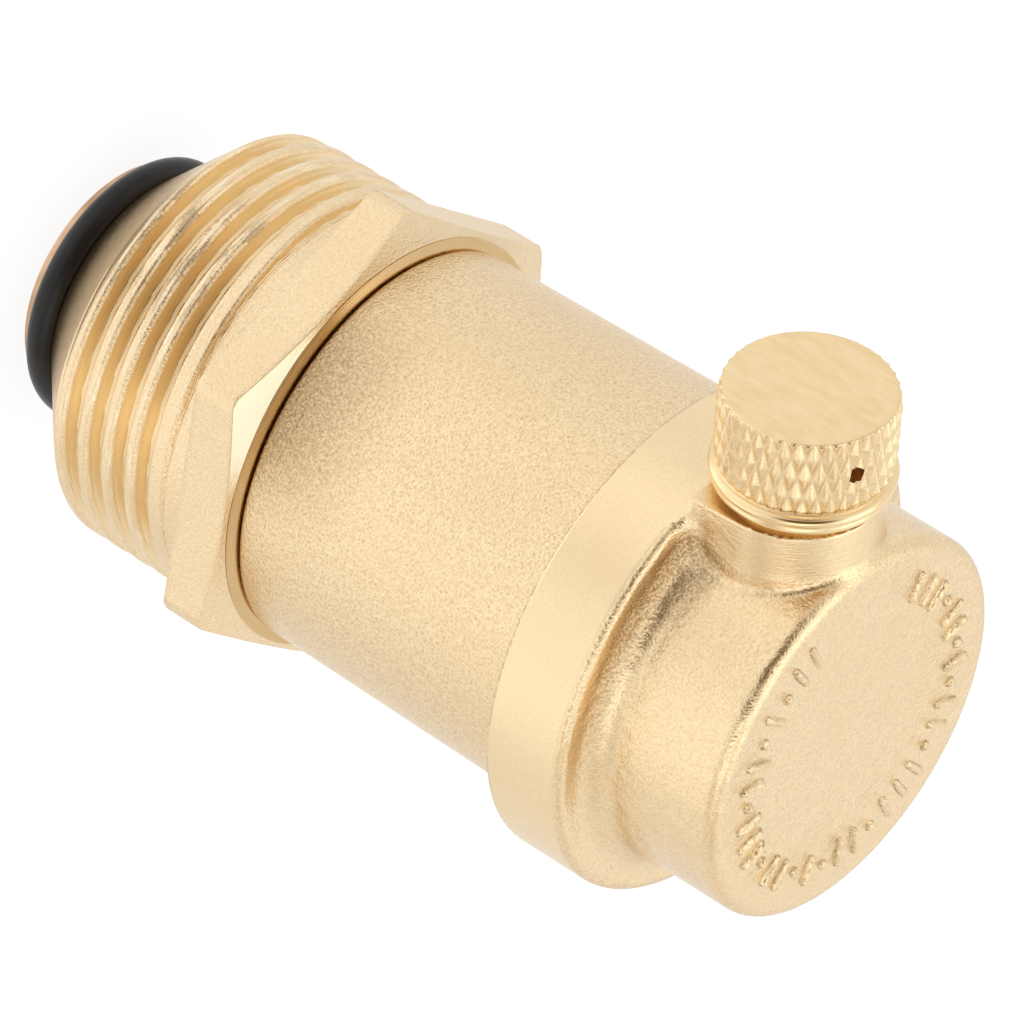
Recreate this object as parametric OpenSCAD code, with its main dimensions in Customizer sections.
// Automatic float air vent with a side exhaust cap.
// +Z is the vent's own axis: the inlet thread points down (-Z), the closed head is up.
// The exhaust boss and its cap point to -Y. z = 0 is the seating face of the hexagon.
// The inlet thread is a stack of plain rings; the other threads and the knurl are plain cylinders.
// Millimetres.

/* [Inlet thread] */
// Major diameter of the inlet thread (BSPP 1)
thread_major_d = 33.249; // [32:0.001:34]
// Minor diameter of the inlet thread
thread_minor_d = 30.291; // [29:0.001:31]
// Pitch of the inlet thread
thread_pitch = 2.309; // [1.8:0.001:2.5]
// Width of the flat on each thread crest
crest_flat = 0.55; // [0.3:0.05:0.8]
// Distance from the seating face to the middle of the first crest below it
first_crest_z = 3.21; // [3:0.01:4]
// Number of thread crests
crest_count = 5; // [3:1:5]

/* [Tail] */
// Distance across the flats of the hexagon
hex_af = 34; // [33.6:0.1:36]
// Thickness of the hexagon
hex_t = 4.4; // [4:0.1:4.6]
// Turn of the hexagon about the vent axis
hex_turn = 21.8; // [0:0.1:60]
// Angle between the hexagon's upper chamfer and its face
hex_chamfer = 17; // [10:1:30]
// Radius of the plain collar below the hexagon
collar_r = 16.4; // [16:0.05:16.6]
// Length of the nose below the seating face, to the end bush flange
nose_z = 21.62; // [20:0.01:24]
// Radius of the O-ring groove in the nose
nose_groove_r = 8.1; // [7.8:0.1:8.4]
// Inner radius of the tail where it opens to the float chamber
tail_bore_r = 10.5; // [8:0.1:10.6]
// Outer radius of the spigot that screws into the body
spigot_r = 14.15; // [13.8:0.01:14.17]
// Height of the top of the spigot
spigot_z = 12; // [11.9:0.01:12.1]

/* [Body] */
// Outer radius of the barrel at its lower end
barrel_r1 = 15.8; // [15.6:0.05:16]
// Outer radius of the barrel where it meets the band
barrel_r2 = 16.2; // [16:0.05:16.6]
// Lower end of the barrel
barrel_z = 4.95; // [4.9:0.01:5.1]
// Lower edge of the machined band
band_z1 = 31.3; // [30:0.1:32]
// Upper edge of the machined band
band_z2 = 38.05; // [37.5:0.05:38.5]
// Outer radius of the machined band
band_r = 18.85; // [18:0.05:20]
// Outer radius of the head
head_r = 15.2; // [15:0.05:15.6]
// Height of the flat face of the head
head_z = 49; // [48.8:0.1:50]
// Radius of the rounded edge of the head
head_edge = 1.05; // [0.5:0.05:1.2]
// Radius of the fillet between the band and the head
head_fillet = 1.9; // [1:0.1:2]
// Inner radius of the float chamber
chamber_r = 13; // [12.8:0.05:13.2]
// Inner radius of the head
head_bore_r = 12.4; // [12.2:0.05:12.6]
// Height of the inner ceiling of the head
ceiling_z = 46.5; // [46:0.1:46.8]

/* [Exhaust boss and nozzle] */
// Height of the exhaust axis
exhaust_z = 42.5; // [42.3:0.1:42.6]
// Radius of the boss
boss_r = 6.45; // [6.3:0.05:6.6]
// Height of the centre of the boss, a little below the exhaust axis
boss_z = 41.9; // [41.7:0.1:42.5]
// Half width of the boss where its cheeks meet the band
cheek_w = 6.65; // [6.5:0.05:7]
// Distance of the boss top from the vent axis
boss_h = 19; // [18.9:0.05:19.1]
// Radius of the threaded bore in the boss
boss_bore_r = 4; // [3.8:0.01:4.1]
// Running gap between a screwed or turned pair, on the radius
gap = 0.05; // [0.02:0.01:0.08]
// Radius of the air orifice at the nozzle tip
orifice_r = 0.7; // [0.4:0.05:0.8]
// Distance of the nozzle tip from the vent axis
tip_h = 8.7; // [8.6:0.05:8.8]

/* [Exhaust cap] */
// Outer radius over the knurl
cap_r = 6.47; // [6.2:0.01:6.6]
// Distance of the cap top from the vent axis
cap_top_h = 27.55; // [27:0.05:28]
// Distance of the cap's foot from the vent axis
cap_foot_h = 19.7; // [19.6:0.05:19.8]
// Distance of the inner edge of the knurl from the vent axis
knurl_h = 21.5; // [21.3:0.05:21.8]
// Radius of the bead between the foot and the knurl
bead_r = 6.66; // [6.4:0.01:6.8]
// Radius of the drilled vent hole
vent_hole_r = 0.65; // [0.4:0.05:0.8]
// Distance of the vent hole from the vent axis
vent_hole_h = 24.36; // [24:0.02:24.6]
// Angle of the vent hole about the cap axis, from +X towards -Z
vent_hole_turn = 72.6; // [0:0.1:360]

/* [Lever] */
// Distance of the lever pivot from the vent axis
pivot_y = 6.8; // [6.6:0.05:7]
// Height of the lever pivot
pivot_z = 37.8; // [37.7:0.05:37.9]
// Radius of the lever pivot pin
pin_r = 0.75; // [0.6:0.01:0.8]
// Radial clearance of the lever on its pin
pin_gap = 0.04; // [0.02:0.01:0.08]
// Wire diameter of the lever spring
spring_wire = 0.36; // [0.25:0.01:0.4]

/* [Float] */
// Outer radius of the float
float_r = 12.2; // [11.8:0.05:12.3]
// Height of the float's lower rim with the valve shut
float_z1 = 14; // [13.8:0.1:15]
// Height of the float's top with the valve shut
float_z2 = 31; // [30.5:0.05:31]
// Wall thickness of the float
float_wall = 1.2; // [0.8:0.1:1.6]

/* [Hidden] */
$fn = 96;

brass = [0.86, 0.72, 0.45];
black = [0.05, 0.05, 0.055];
silver = [0.8, 0.81, 0.82];
dull_silver = [0.75, 0.76, 0.78];

// Inlet thread and nose
thread_major_r = thread_major_d / 2;
thread_minor_r = thread_minor_d / 2;
crest_foot = thread_pitch / 2 - 0.12;   // half width of a crest at the minor radius
relief_r = 15.9;
relief_z = -1.8;                        // top of the relief, where the collar starts
nose_wall_z = -19.05;                   // upper wall of the nose O-ring groove
nose_r = 10;
cone_r = 15.5;                          // radius where the nose cone meets the thread
cone_z = nose_wall_z + cone_r - nose_r; // 45 degree cone
hex_face_r = 16.55;                     // round face left by the hexagon's chamfer

// Seats inside the spigot
baffle_seat_r = 11.55;
baffle_seat_z = 9.8;
ring_groove_r = 12.1;
ring_groove_z = 10.7;

// Exhaust parts; _h is a distance from the vent axis
boss_back_z = band_z2 - 0.05;           // below this the boss is cut back to the band
stem_r = 3;
stem_top_h = 24.6;
cap_cavity_top_h = 26.2;
seal_play = 0.04;                       // at each face of the cap seal
pad_pocket_h = 7.3;
pad_play = 0.03;                        // at each face of the valve pad

// Lever work
screw_x = 3;
screw_z = 33.2;
ear_r = 1.4;
ear_t = 0.9;
ear_root_y = 11;
shelf_z = 33;
shelf_t = 0.6;
lever_arm_t = 1.4;
spring_play = 0.02;                     // at each end of the lever spring
clip_groove_r = 0.55;
hanger_pin_r = 0.6;

// ---------- helpers ----------

// points of a circular arc between two angles
function arc(x, y, r, start, end, steps) =
    [for (i = [0:steps]) let(a = start + (end - start) * i / steps) [x + r * cos(a), y + r * sin(a)]];

// a solid of revolution about the Z axis from [radius, z] points
module turned(points) { rotate_extrude($fn = 120) polygon(points); }

// a cylinder on the Z axis, standing on height z
module rod(r, z, h) { translate([0, 0, z]) cylinder(r = r, h = h); }

// a cone frustum on the Z axis, standing on height z
module taper(r1, r2, z, h) { translate([0, 0, z]) cylinder(r1 = r1, r2 = r2, h = h); }

// moves a shape built along +Z (z = distance from the vent axis) onto the exhaust axis, to -Y
module on_exhaust() { translate([0, 0, exhaust_z]) rotate([90, 0, 0]) children(); }

// lays a shape built along +Z along +X, with its origin at a point
module along_x(origin) { translate(origin) rotate([0, 90, 0]) children(); }

// lays a shape built along +Z along the pivot axis, from a given x
module on_pivot(x = 0) { along_x([x, -pivot_y, pivot_z]) children(); }

// places a shape built along +Z on both bracket screw axes, which point to -Y
module on_screws() {
    for (side = [-1, 1]) translate([screw_x * side, 0, screw_z]) rotate([90, 0, 0]) children();
}

// repeats a plate that starts at x = 0 on both sides, inner_x away from the middle plane
module plate_pair(inner_x, thickness) {
    for (x = [-inner_x - thickness, inner_x]) translate([x, 0, 0]) children();
}

// a ring of circular section about the Z axis
module o_ring(ring_r, section_r, z) {
    translate([0, 0, z]) rotate_extrude($fn = 96) translate([ring_r, 0])
        circle(r = section_r, $fn = 48);
}

// a wire coil about the Z axis, with its two wire ends capped flat
module coil(coil_r, wire, z1, z2, turns, steps_per_turn = 16, sides = 8) {
    steps = turns * steps_per_turn;
    wire_r = wire / 2;
    rise = (z2 - z1 - wire) / steps;
    points = [for (i = [0:steps], k = [0:sides - 1])
        let(a = 360 * i / steps_per_turn, b = 360 * k / sides, r = coil_r + wire_r * cos(b))
        [r * cos(a), r * sin(a), z1 + wire_r + rise * i + wire_r * sin(b)]];
    side_faces = [for (i = [0:steps - 1], k = [0:sides - 1])
        let(a = i * sides + k, b = i * sides + (k + 1) % sides)
        [a, b, b + sides, a + sides]];
    start_face = [for (k = [sides - 1:-1:0]) k];
    end_face = [for (k = [0:sides - 1]) steps * sides + k];
    polyhedron(points = points, faces = concat(side_faces, [start_face], [end_face]),
               convexity = 10);
}

// ---------- body ----------

module body_outside() {
    barrel_edge = 0.2;
    low_edge = 0.3;
    top_edge = 0.7;
    turned(concat(
        [[0, barrel_z], [barrel_r1 - barrel_edge, barrel_z], [barrel_r1, barrel_z + barrel_edge],
         [barrel_r2, band_z1], [band_r - low_edge, band_z1]],
        arc(band_r - low_edge, band_z1 + low_edge, low_edge, -90, 0, 3),
        arc(band_r - top_edge, band_z2 - top_edge, top_edge, 0, 90, 5),
        arc(head_r + head_fillet, band_z2 + head_fillet, head_fillet, 270, 180, 7),
        arc(head_r - head_edge, head_z - head_edge, head_edge, 0, 90, 7),
        [[0, head_z]]));
}

// boss with cheeks that widen towards the band, cut back to the band's radius beside it
module exhaust_boss() {
    root_h = 8;
    cheek_y = boss_back_z - boss_z;
    cut_r = band_r - 0.05;
    intersection() {
        translate([0, -root_h, boss_z]) rotate([90, 0, 0]) union() {
            cylinder(r = boss_r, h = boss_h - root_h);
            linear_extrude(boss_h - root_h) polygon([
                [-cheek_w, cheek_y - 1], [cheek_w, cheek_y - 1], [cheek_w, cheek_y],
                [boss_r - 0.01, 0], [-boss_r + 0.01, 0], [-cheek_w, cheek_y]]);
        }
        turned([[0, 36], [cut_r, 36], [cut_r, boss_back_z], [24, boss_back_z], [24, 50], [0, 50]]);
    }
}

module vent_body() {
    land_y = 11.35;
    color(brass) difference() {
        union() {
            body_outside();
            exhaust_boss();
        }
        // spigot socket, float chamber and head
        difference() {
            union() {
                rod(spigot_r + gap, barrel_z - 1, spigot_z + 0.2 - barrel_z + 1);
                rod(chamber_r, spigot_z, band_z2 - spigot_z);
                rod(head_bore_r, band_z2 - 1, ceiling_z - band_z2 + 1);
            }
            // flat land for the lever bracket
            translate([-5, -20, 31.4]) cube([10, 20 - land_y, 8.4]);
        }
        // boss bore, and counterbore for the O-ring
        on_exhaust() rod(boss_bore_r, 8, boss_h);
        on_exhaust() rod(5.02, boss_h - 0.95, 2);
        // blind tapped holes for the bracket screws
        on_screws() rod(1.22, 10, 6.2);
    }
}

// ---------- tail ----------

// [radius, z] points of one crest with its two flanks, going up
function crest(z) = [[thread_minor_r, z - crest_foot], [thread_major_r, z - crest_flat / 2],
                     [thread_major_r, z + crest_flat / 2], [thread_minor_r, z + crest_foot]];

module threaded_tail() {
    chamfer_base_z = -30;
    chamfer_h = hex_t - chamfer_base_z;
    color(brass) difference() {
        union() {
            // nose, thread, relief and collar
            turned(concat(
                [[0, -nose_z], [nose_groove_r, -nose_z], [nose_groove_r, nose_wall_z],
                 [nose_r, nose_wall_z], [cone_r, cone_z]],
                [for (i = [crest_count - 1:-1:0]) each crest(-first_crest_z - i * thread_pitch)],
                [[relief_r, -first_crest_z + crest_foot], [relief_r, relief_z],
                 [collar_r, relief_z], [collar_r, 0.5], [0, 0.5]]));
            // chamfered hexagon
            intersection() {
                rotate([0, 0, hex_turn]) cylinder(r = hex_af / sqrt(3), h = hex_t, $fn = 6);
                taper(hex_face_r + chamfer_h / tan(hex_chamfer), hex_face_r,
                      chamfer_base_z, chamfer_h);
            }
            turned([[0, 1], [hex_face_r, 1], [hex_face_r, hex_t], [15.8, hex_t + 0.35],
                    [0, hex_t + 0.35]]);
            // spigot with its O-ring groove
            turned([[0, 1], [spigot_r, 1], [spigot_r, 5.5], [13, 5.5], [13, 6.8], [spigot_r, 6.8],
                    [spigot_r, spigot_z - 0.5], [spigot_r - 0.5, spigot_z], [0, spigot_z]]);
        }
        // water way from the nose up to the chamber, with the baffle seat and ring groove
        turned([[0, -30], [6.52, -30], [6.52, -16], [5.6, -16], [5.6, -9], [tail_bore_r, -4],
                [tail_bore_r, baffle_seat_z], [baffle_seat_r, baffle_seat_z],
                [baffle_seat_r, ring_groove_z], [ring_groove_r, ring_groove_z],
                [ring_groove_r, ring_groove_z + 0.9], [baffle_seat_r, ring_groove_z + 0.9],
                [baffle_seat_r, 13], [0, 13]]);
    }
}

module end_bush() {
    sleeve_r = 6.5;
    flange_r = 9.49;
    flange_z1 = -nose_z - 0.75;
    flange_z2 = -nose_z - 0.03;
    bore_r = 5;
    color([0.72, 0.45, 0.3]) difference() {
        turned([[0, flange_z1], [9.2, flange_z1], [flange_r, -nose_z - 0.5], [flange_r, flange_z2],
                [sleeve_r, flange_z2], [sleeve_r, -16.4], [6.1, -16.02], [0, -16.02]]);
        rod(bore_r, -25, 12);
        taper(5.8, bore_r, flange_z1 - 0.01, 0.8);
    }
}

module nose_o_ring() { color(black) o_ring(9.43, 1.27, -20.33); }

module body_o_ring() { color(black) o_ring(13.6, 0.57, 6.15); }

// disc with a centre hole and two rings of six holes
module baffle() {
    hole_r = 2;
    color(brass) difference() {
        rod(11.5, baffle_seat_z + 0.03, 0.8);
        rod(hole_r, 9, 2);
        for (a = [0:60:300]) rotate([0, 0, a]) translate([6.6, 0, 9]) cylinder(r = hole_r, h = 2);
        for (a = [30:60:330]) rotate([0, 0, a]) translate([8.6, 0, 9]) cylinder(r = 1.2, h = 2);
    }
}

// flat ring above the baffle, split towards +X
module baffle_ring() {
    split_w = 3;
    color(dull_silver) difference() {
        rod(12.02, ring_groove_z + 0.05, 0.8);
        rod(10.8, 10, 2);
        translate([0, -split_w / 2, 10]) cube([20, split_w, 2]);
    }
}

// ---------- exhaust valve ----------

module valve_nozzle() {
    nipple_r = 2;
    shank_h = 13.2;
    color([0.82, 0.68, 0.4]) on_exhaust() difference() {
        union() {
            // inner nipple with its conical seat
            taper(1.15, nipple_r, tip_h, 1);
            rod(nipple_r, tip_h + 1, 4);
            // shank in the boss, flange, and stem that carries the cap
            rod(boss_bore_r - gap, shank_h, boss_h - shank_h + 0.1);
            rod(5.35, boss_h + 0.03, 0.8);
            rod(stem_r, boss_h + 0.5, stem_top_h - boss_h - 0.5);
        }
        // orifice, and the wider bore outside it
        rod(orifice_r, 0, 30);
        rod(1.4, tip_h + 4, 30);
    }
}

module nozzle_o_ring() { color(black) on_exhaust() o_ring(4.49, 0.44, boss_h - 0.47); }

module exhaust_cap() {
    foot_r = bead_r - 0.16;
    knurl_root_r = cap_r - 0.21;
    color(brass) on_exhaust() difference() {
        // foot, waist, bead and groove, then the knurled part
        rotate_extrude($fn = 96) polygon([
            [0, cap_foot_h], [bead_r - 0.36, cap_foot_h],
            [foot_r, cap_foot_h + 0.2], [foot_r, cap_foot_h + 0.4],
            [bead_r - 0.28, cap_foot_h + 0.55],
            [bead_r, cap_foot_h + 0.8], [bead_r, cap_foot_h + 1.1],
            [bead_r - 0.4, cap_foot_h + 1.4],
            [knurl_root_r, knurl_h - 0.15], [knurl_root_r, knurl_h], [cap_r, knurl_h + 0.2],
            [cap_r, cap_top_h - 0.3], [cap_r - 0.28, cap_top_h], [0, cap_top_h]]);
        // recess over the flange, bore for the stem, and cavity for the seal
        rod(5.5, cap_foot_h - 1, 2);
        rod(stem_r + gap, cap_foot_h, 5);
        rod(4.6, 23, cap_cavity_top_h - 23);
        // drilled vent hole
        rotate([0, 0, -vent_hole_turn]) along_x([0, 0, vent_hole_h])
            cylinder(r = vent_hole_r, h = 10);
    }
}

module cap_seal() {
    color([0.12, 0.12, 0.12]) on_exhaust()
        rod(3.7, stem_top_h + seal_play, cap_cavity_top_h - stem_top_h - 2 * seal_play);
}

// ---------- lever work ----------

module lever_bracket() {
    color([0.78, 0.79, 0.8]) difference() {
        union() {
            // plate against the land inside the body
            translate([-4.8, -11.3, 31.6]) cube([9.6, 0.9, 7.6]);
            // two ears that carry the pivot pin
            plate_pair(2.5, ear_t) {
                translate([0, -ear_root_y, pivot_z - ear_r])
                    cube([ear_t, ear_root_y - pivot_y, 2 * ear_r]);
                on_pivot() cylinder(r = ear_r, h = ear_t);
            }
            // shelf under the lever spring
            translate([-1.2, -10.6, shelf_z]) cube([2.4, 8.2, shelf_t]);
        }
        on_pivot(-10) cylinder(r = pin_r + 0.03, h = 20);
        on_screws() rod(1.26, 10, 3);
    }
}

module bracket_screws() {
    head_r = 1.6;
    slot_w = 0.5;
    color([0.7, 0.71, 0.73]) on_screws() difference() {
        union() {
            taper(1.35, head_r, 9.25, 0.3);
            rod(head_r, 9.54, 0.83);
            rod(1.2, 10, 6);
        }
        // slot for the screwdriver
        translate([-2, -slot_w / 2, 9]) cube([4, slot_w, 0.8]);
    }
}

module lever_pin() {
    color(silver) on_pivot() difference() {
        union() {
            rod(pin_r, -4.3, 7.8);
            rod(1.25, 3.45, 0.6);
        }
        // groove for the clip
        difference() {
            rod(2, -3.95, 0.45);
            rod(clip_groove_r, -4, 1);
        }
    }
}

module pin_clip() {
    mouth_w = 0.9;
    color([0.35, 0.36, 0.38]) on_pivot() difference() {
        rod(1.45, -3.92, 0.38);
        rod(clip_groove_r + 0.02, -5, 3);
        translate([0, -mouth_w / 2, -5]) cube([3, mouth_w, 3]);
    }
}

module lever() {
    hub_w = 4.4;
    upright_w = 3.2;
    arm_w = 2.2;
    slot_r = 0.66;
    slot_shift = 0.2;
    color([0.8, 0.66, 0.4]) difference() {
        union() {
            on_pivot(-hub_w / 2) cylinder(r = 1.7, h = hub_w);
            // upright arm with the cup for the valve pad
            translate([-upright_w / 2, -7.7, pivot_z]) cube([upright_w, 1.5, exhaust_z - pivot_z]);
            on_exhaust() rod(2.6, 6.2, 1.8);
            // long arm to the float
            translate([-arm_w / 2, -pivot_y, pivot_z - lever_arm_t / 2])
                cube([arm_w, pivot_y, lever_arm_t]);
            along_x([-arm_w / 2, 0, pivot_z]) cylinder(r = 1.25, h = arm_w);
        }
        on_pivot(-5) cylinder(r = pin_r + pin_gap, h = 10);
        // pocket for the pad
        on_exhaust() rod(1.95, pad_pocket_h, 3);
        // slot for the hanger pin
        for (y = [-slot_shift, slot_shift]) along_x([-5, y, pivot_z]) cylinder(r = slot_r, h = 10);
        translate([-5, -slot_shift, pivot_z - slot_r]) cube([10, 2 * slot_shift, 2 * slot_r]);
    }
}

module valve_pad() {
    color([0.1, 0.1, 0.1]) on_exhaust()
        rod(1.9, pad_pocket_h + pad_play, tip_h - pad_pocket_h - 2 * pad_play);
}

// between the bracket's shelf and the underside of the lever's long arm
module lever_spring() {
    color(dull_silver) translate([0, -3.6, 0])
        coil(coil_r = 0.85, wire = spring_wire, z1 = shelf_z + shelf_t + spring_play,
             z2 = pivot_z - lever_arm_t / 2 - spring_play, turns = 4);
}

// ---------- float ----------

// cup with its open end down
module float() {
    rim_edge = 0.3;
    top_edge = 1.5;
    top_t = 1.5;
    color([0.88, 0.87, 0.83]) difference() {
        turned(concat(
            [[0, float_z1], [float_r - rim_edge, float_z1], [float_r, float_z1 + rim_edge]],
            arc(float_r - top_edge, float_z2 - top_edge, top_edge, 0, 90, 6),
            [[0, float_z2]]));
        rod(float_r - float_wall, float_z1 - 1, float_z2 - top_t - float_z1 + 1);
        rod(1.55, float_z2 - 3, 4);
    }
}

module float_hanger() {
    fork_t = 0.7;
    fork_r = 1.3;
    fork_z = float_z2 + 0.4;
    color(silver) difference() {
        union() {
            rod(3.2, float_z2 + 0.02, 0.8);
            // stud snapped through the float's top
            rod(1.5, float_z2 - 1.6, 2);
            taper(1.4, 1.9, float_z2 - 2.4, 0.85);
            // two cheeks that carry the hanger pin
            plate_pair(1.7, fork_t) {
                translate([0, -fork_r, fork_z]) cube([fork_t, 2 * fork_r, pivot_z - fork_z]);
                along_x([0, 0, pivot_z]) cylinder(r = fork_r, h = fork_t);
            }
        }
        along_x([-5, 0, pivot_z]) cylinder(r = hanger_pin_r + 0.02, h = 10);
    }
}

module hanger_pin() {
    color(silver) along_x([0, 0, pivot_z]) union() {
        rod(hanger_pin_r, -2.7, 5.4);
        rod(0.95, 2.45, 0.4);
    }
}

vent_body();
threaded_tail();
end_bush();
nose_o_ring();
body_o_ring();
baffle();
baffle_ring();
valve_nozzle();
nozzle_o_ring();
lever_bracket();
bracket_screws();
lever_pin();
pin_clip();
lever();
valve_pad();
lever_spring();
float();
float_hanger();
hanger_pin();
cap_seal();
exhaust_cap();
